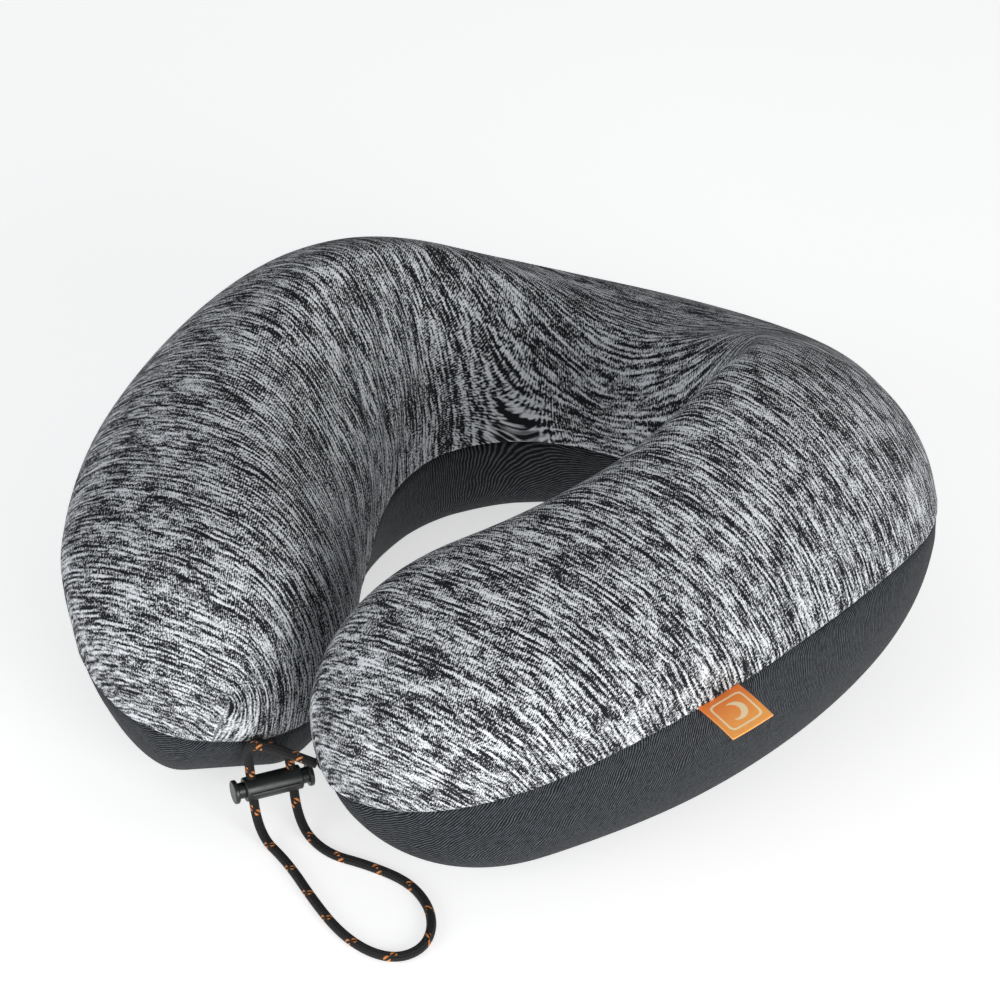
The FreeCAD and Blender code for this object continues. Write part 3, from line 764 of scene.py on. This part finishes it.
def sewnLabel(name, label):
    # a ribbon sewn into the outer seam that curls a little towards its free edge
    corners = []
    for fraction in (label["from"], label["to"]):
        s = fraction * halfLength
        z = smoothTable(pillow["outerSeam"], abs(fraction))
        centre, outward, ahead = planFrame(s)
        out = Vector((*outward, 0.0))
        root = Vector((*(centre + outward * (wallReach(s, z) + label["root"])), z))
        corners.append((root, (out - Vector((0, 0, label["droop"]))).normalized()))
    (rootA, outA), (rootB, outB) = corners
    width, down = (rootB - rootA).length, outA.lerp(outB, 0.5).normalized()
    up = (rootB - rootA).cross(down).normalized()
    up = up if up.z > 0 else -up
    deselectAll()
    bpy.ops.mesh.primitive_grid_add(x_subdivisions=label["columns"], y_subdivisions=label["rows"], size=1.0)
    made = bpy.context.object
    made.name = name
    places, uvs = [], []
    for vertex in made.data.vertices:
        across, along = vertex.co.x + 0.5, vertex.co.y + 0.5
        lift = label["curl"] * (math.sin(math.pi * along) * 0.8 + (across - 0.5) ** 2 * 1.6 * along)
        places.append((rootA.lerp(rootB, across) + down * (label["length"] * along) + up * lift) * mm)
        uvs.append((across * width * mm, along * label["length"] * mm))
    made.matrix_world = Matrix.Identity(4)
    writePoints(made.data, np.array([tuple(place) for place in places]))
    layer = made.data.uv_layers.new(name="label")
    for loop in made.data.loops:
        layer.data[loop.index].uv = uvs[loop.vertex_index]
    made.data.uv_layers.active = layer
    wall = made.modifiers.new("wall", "SOLIDIFY")
    wall.thickness, wall.offset = label["thickness"] * mm, 0.0
    edge = made.modifiers.new("edge", "BEVEL")
    edge.width, edge.segments, edge.limit_method = 0.22 * mm, 3, "ANGLE"
    applyAll(made)
    bpy.ops.object.shade_smooth_by_angle(angle=math.radians(40))
    return made, width * mm


weave = {
    # deep and bright are the orange ground in painted shade at the seam and lit towards the free edge
    "deep": (0.95, 0.17, 0.008),
    "bright": (0.96, 0.42, 0.09),
    "thread": (0.95, 0.80, 0.50),
    "rib": 0.42 * mm,
    "moon": 3.7 * mm,           # radius of the crescent
    "line": 0.34 * mm,
}


def orangeWeave(width, length):
    # satin weave with a plain crescent and border in pale thread
    paint = Paint("orangeWeave")
    u, v, unused = paint.uv("label")
    weft = paint.ridge(v * (1.0 / weave["rib"]))
    warp = paint.ridge(u * (1.0 / (weave["rib"] * 0.7)))
    fuzz = paint.noise(paint.place(), 900.0, 3.0)
    x, y = u - width / 2, v - length * 0.54
    disc = paint.root(x * x + y * y)
    xCut, yCut = x - weave["moon"] * 0.42, y + weave["moon"] * 0.1
    bite = paint.root(xCut * xCut + yCut * yCut)
    moon = (disc < weave["moon"]) * (bite > weave["moon"] * 0.82)
    across, down = abs(x) * (1.0 / (width * 0.37)), abs(y) * (1.0 / (length * 0.32))
    borderLine = (across ** 8.0 + down ** 8.0) ** 0.125
    halfLine = weave["line"] / (width * 0.37)
    border = (borderLine > 1.0 - halfLine) * (borderLine < 1.0 + halfLine)
    pale = paint.step(moon + border, 0.0, 1.0)
    # painted shade: the ground is darkest at the root in the seam and lightens towards the free edge; the
    # weft ribs are painted a little lighter, and fuzz adds random tone
    paintedLightShare = paint.step(v, 0.0, length) * 0.75 + weft * 0.2 + fuzz * 0.15
    ground = paint.mix(paintedLightShare, weave["deep"], weave["bright"])
    color = paint.mix(pale * (0.75 + warp * 0.25), ground, weave["thread"])
    height = weft * 0.5 + warp * 0.3 + pale * 0.6 + fuzz * 0.2
    return paint.finish(Base_Color=color, Roughness=0.55, Sheen_Weight=0.15,
                        Normal=paint.bump(height, 0.15 * mm, 0.7))


def satinRibbon():
    # blank satin ribbon: long floats across fine ribs
    paint = Paint("satinRibbon")
    u, v, unused = paint.uv("label")
    floats = paint.noise(paint.join(u * 400.0, v * 5200.0), 1.0, 2.0, flat=True)
    ribs = paint.ridge(v * 2600.0)
    color = paint.mix(floats, (0.62, 0.61, 0.58), (0.86, 0.85, 0.82))
    return paint.finish(Base_Color=color, Roughness=0.32, Sheen_Weight=0.1,
                        Normal=paint.bump(ribs * 0.6 + floats * 0.4, 0.08 * mm, 0.6))


madeLabel, labelWidth = sewnLabel("wovenLabel", wovenLabel)
dress(madeLabel, orangeWeave(labelWidth, wovenLabel["length"] * mm), "woven_label",
      slotName="orange_label")
madeRibbon, ribbonWidth = sewnLabel("careRibbon", careLabel)
dress(madeRibbon, satinRibbon(), "care_label", slotName="satin_label")
labelWidth * wovenLabel["length"] * mm
print("labels sewn")


def repeated(name, pattern, places):
    # one object from many placed copies of a pattern, each with its own mesh
    bm = bmesh.new()
    for place in places:
        copy = pattern.data.copy()
        copy.transform(place)
        bm.from_mesh(copy)
        bpy.data.meshes.remove(copy)
    mesh = bpy.data.meshes.new(name)
    bm.to_mesh(mesh)
    bm.free()
    bpy.data.objects.remove(pattern)
    made = bpy.data.objects.new(name, mesh)
    scene.collection.objects.link(made)
    return made


coil = {                        # millimetres
    "shank": (1.25, 0.95 * 0.62, 2.3),      # deep, wide, long
    "reach": 0.75,
    "inset": 0.9,
}


def coilTooth():
    # one loop of the coil: narrow shank, wider rounded head
    deselectAll()
    bpy.ops.mesh.primitive_cylinder_add(vertices=10, radius=0.5, depth=1.0)
    tooth = bpy.context.object
    bpy.ops.object.mode_set(mode="EDIT")
    bpy.ops.mesh.select_all(action="SELECT")
    bpy.ops.transform.resize(value=[size * mm for size in coil["shank"]])
    bpy.ops.mesh.select_all(action="DESELECT")
    bm = bmesh.from_edit_mesh(tooth.data)
    for face in bm.faces:
        face.select = face.normal.z < -0.9
    bmesh.update_edit_mesh(tooth.data)
    bpy.ops.transform.resize(value=(0.95, 1.5, 1.0))
    bpy.ops.mesh.extrude_region_move(TRANSFORM_OT_translate={"value": (0, 0, -0.3 * mm)})
    bpy.ops.transform.resize(value=(0.6, 0.6, 1.0))
    bpy.ops.object.mode_set(mode="OBJECT")
    bpy.ops.object.shade_smooth_by_angle(angle=math.radians(50))
    return tooth


def backPlace(angle, inset, z):
    # a frame on the back's outer wall: X outwards, Y along the seam, Z up
    wall = pillow["backRadius"] + wallReach(0.0, zipper["seamZ"]) - inset
    turn = math.radians(angle)
    spot = Vector((wall * math.cos(turn), pillow["arcCentreY"] + wall * math.sin(turn), z)) * mm
    return Matrix.Translation(spot) @ Matrix.Rotation(turn, 4, "Z")


def zipCoil(name, side):
    wall = pillow["backRadius"] + wallReach(0.0, zipper["seamZ"])
    step = math.degrees(zipper["pitch"] / wall)
    count = int(2 * zipper["halfAngle"] / step)
    turned = Matrix.Identity(4) if side > 0 else Matrix.Rotation(math.pi, 4, "X")
    middle = zipper["seamZ"] + side * coil["reach"]
    offset = 0.25 if side > 0 else 0.75
    places = [backPlace(90 - zipper["halfAngle"] + (i + offset) * step, coil["inset"], middle) @ turned
              for i in range(count)]
    return repeated(name, coilTooth(), places)


def coilNylon():
    paint = Paint("coilNylon")
    speckle = paint.noise(paint.place(), 1800.0, 2.0)
    color = paint.mix(speckle, (0.010, 0.011, 0.012), (0.028, 0.030, 0.033))
    return paint.finish(Base_Color=color, Roughness=0.42, Normal=paint.bump(speckle, 0.03 * mm, 0.5))


nylon = coilNylon()
for name, node, side in (("zipCoilUpper", "zip_coil_upper", 1), ("zipCoilLower", "zip_coil_lower", -1)):
    dress(zipCoil(name, side), nylon, node, slotName="zip_coil")
print("zip coils set")


tack = {                        # millimetres and degrees
    "stitches": 7, "spread": 3.6, "long": 4.6, "thick": 0.30, "arch": 0.55, "sink": 1.3,
    "leans": (-5, 4, -3, 6, -4, 3, -6),
}


def tackStitch():
    # one short thread, arched over the cloth
    deselectAll()
    bpy.ops.mesh.primitive_cylinder_add(vertices=8, radius=tack["thick"] * mm, depth=tack["long"] * mm,
                                        rotation=(math.pi / 2, 0, 0))
    stitch = bpy.context.object
    bpy.ops.object.transform_apply(location=True, rotation=True, scale=True)
    bpy.ops.object.mode_set(mode="EDIT")
    bpy.ops.mesh.select_all(action="DESELECT")
    bm = bmesh.from_edit_mesh(stitch.data)
    lengthwise = [e for e in bm.edges if abs(e.verts[0].co.y - e.verts[1].co.y) > mm]
    bmesh.ops.subdivide_edges(bm, edges=lengthwise, cuts=5)
    half = tack["long"] / 2 * mm
    for vertex in bm.verts:
        share = vertex.co.y / half
        vertex.co.z += tack["arch"] * mm * (1 - share * share)
    bmesh.update_edit_mesh(stitch.data)
    bpy.ops.object.mode_set(mode="OBJECT")
    bpy.ops.object.shade_smooth_by_angle(angle=math.radians(50))
    return stitch


def tackThread():
    paint = Paint("tackThread")
    twist = paint.noise(paint.place(), 2400.0, 3.0)
    color = paint.mix(twist, (0.008, 0.008, 0.009), (0.045, 0.045, 0.05))
    return paint.finish(Base_Color=color, Roughness=0.7, Normal=paint.bump(twist, 0.06 * mm, 0.8))


thread = tackThread()
for name, node, cordExit, normal in (("cordTackNear", "cord_anchor_near", nearExit, nearNormal),
                                     ("cordTackFar", "cord_anchor_far", farExit, farNormal)):
    normal = normal.normalized()
    seat = cordExit - normal * tack["sink"]
    along = normal.cross(Vector((0, 0, 1))).normalized()
    across = along.cross(normal).normalized()
    basis = Matrix((along, across, normal)).transposed().to_4x4()
    places = []
    for i in range(tack["stitches"]):
        shift = (i / (tack["stitches"] - 1) - 0.5) * tack["spread"]
        lean = Matrix.Rotation(math.radians(tack["leans"][i]), 4, "Z")
        places.append(Matrix.Translation((seat + along * shift) * mm) @ basis @ lean)
    dress(repeated(name, tackStitch(), places), thread, node, slotName="tack_thread")
print("cord ends tacked")


def lockPlastic():
    # satin moulded plastic, faintly mottled, a little smoother where thumbs rub it
    paint = Paint("lockPlastic")
    here = paint.place()
    grain, mottle = paint.noise(here, 5200.0, 2.0), paint.noise(here, 260.0, 3.0)
    color = paint.mix(mottle, (0.0065, 0.0078, 0.0078), (0.016, 0.019, 0.019))
    return paint.finish(Base_Color=color, Roughness=paint.step(mottle, 0.2, 0.8) * 0.14 + 0.30,
                        Normal=paint.bump(grain, 0.02 * mm, 0.35))


def springSteel():
    paint = Paint("springSteel")
    drawn = paint.noise(paint.place(), 3000.0, 2.0)
    return paint.finish(Base_Color=paint.mix(drawn, (0.42, 0.42, 0.43), (0.62, 0.62, 0.64)), Metallic=1.0,
                        Roughness=drawn * 0.2 + 0.22)


def zipEnamel():
    # dark enamel, worn to metal in specks
    paint = Paint("zipEnamel")
    here = paint.place()
    worn = paint.step(paint.noise(here, 420.0, 4.0, 0.7), 0.66, 0.72)
    color = paint.mix(worn, (0.014, 0.014, 0.016), (0.35, 0.34, 0.33))
    return paint.finish(Base_Color=color, Metallic=worn * 0.8 + 0.1, Roughness=0.36 - worn * 0.1,
                        Normal=paint.bump(paint.noise(here, 1500.0, 2.0), 0.02 * mm, 0.5))


def zipTape():
    # herringbone tape: the twill changes direction every few threads
    paint = Paint("zipTape")
    x, y, z = paint.split(paint.place())
    around = paint.calc("ARCTAN2", y - pillow["arcCentreY"] * mm, x) * 0.127
    zigzag = abs((around * 480.0) % 1.0 - 0.5) * (1 / 480.0)
    ribs = paint.ridge((z + zigzag * 2.0) * 1700.0)
    color = paint.mix(ribs, (0.006, 0.006, 0.007), (0.035, 0.036, 0.04))
    return paint.finish(Base_Color=color, Roughness=0.75, Normal=paint.bump(ribs, 0.12 * mm, 0.7))


def openFoam():
    paint = Paint("openFoam")
    cells = paint.noise(paint.place(), 1400.0, 3.0, 0.7)
    color = paint.mix(cells, (0.60, 0.56, 0.46), (0.88, 0.86, 0.78))
    return paint.finish(Base_Color=color, Roughness=0.95, Normal=paint.bump(cells, 0.4 * mm, 0.8))


def linerJersey():
    paint = Paint("linerJersey")
    x, y, z = paint.split(paint.place())
    loops = paint.ridge((x + y) * 900.0) * 0.5 + paint.ridge((x - y + z) * 1300.0) * 0.5
    color = paint.mix(loops, (0.52, 0.52, 0.52), (0.84, 0.84, 0.84))
    return paint.finish(Base_Color=color, Roughness=0.9, Normal=paint.bump(loops, 0.2 * mm, 0.6))


plastic, enamel, tape = lockPlastic(), zipEnamel(), zipTape()
nodeFinish = {
    "cord_lock_barrel": plastic, "cord_lock_button_left": plastic, "cord_lock_button_right": plastic,
    "cord_lock_spring": springSteel(), "zip_slider_body": enamel, "zip_pull_tab": enamel,
    "zip_stop_start": enamel, "zip_stop_end": enamel, "zip_tape_upper": tape, "zip_tape_lower": tape,
    "foam_core": openFoam(), "foam_liner": linerJersey(),
}
for node, finish in nodeFinish.items():
    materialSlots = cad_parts[node].data.materials
    materialSlots.clear()
    materialSlots.append(finish)
print("finishes given to", len(nodeFinish), "nodes")

# studio
studio = {
    "floorSize": 6.0,
    "floorShade": (0.80, 0.80, 0.80),
    "floorGlow": 0.62,
    "world": (0.95, 0.97, 1.0),
    "worldStrength": 0.24,
    # name: place, target, size, watts, colour
    "lights": {
        "key": ((1.5, -0.9, 0.45), (0.0, -0.02, 0.05), (1.0, 0.9), 22.0, (1.0, 1.0, 0.985)),
        "fill": ((-0.6, -1.6, 0.6), (0.0, 0.0, 0.05), (1.3, 1.1), 10.0, (0.97, 0.98, 1.0)),
        "above": ((0.1, 0.2, 2.0), (0.0, 0.0, 0.0), (2.4, 2.4), 2.0, (1.0, 1.0, 1.0)),
    },
}
bpy.ops.mesh.primitive_plane_add(size=studio["floorSize"], location=(0.0, 0.0, -0.0004))
floor = bpy.context.object
floor.name = "floor"
floorPaint = Paint("floorPaint")
floor.data.materials.append(floorPaint.finish(
    Base_Color=studio["floorShade"], Roughness=0.9,
    Emission_Color=(1.0, 1.0, 1.0), Emission_Strength=studio["floorGlow"]))

world = bpy.data.worlds.new("studio")
world.use_nodes = True
world.node_tree.nodes["Background"].inputs[0].default_value = (*studio["world"], 1.0)
world.node_tree.nodes["Background"].inputs[1].default_value = studio["worldStrength"]
scene.world = world


def softLight(name, place, target, size, power, shade):
    data = bpy.data.lights.new(name, "AREA")
    data.shape = "RECTANGLE"
    data.size, data.size_y = size
    data.energy = power
    data.color = shade
    lamp = bpy.data.objects.new(name, data)
    lamp.matrix_world = Matrix.Translation(place) @ (Vector(target) - Vector(place)).to_track_quat(
        "-Z", "Y").to_matrix().to_4x4()
    scene.collection.objects.link(lamp)


for lightName, values in studio["lights"].items():
    softLight(lightName, *values)
scene.view_settings.view_transform = "Standard"
print("studio lit")
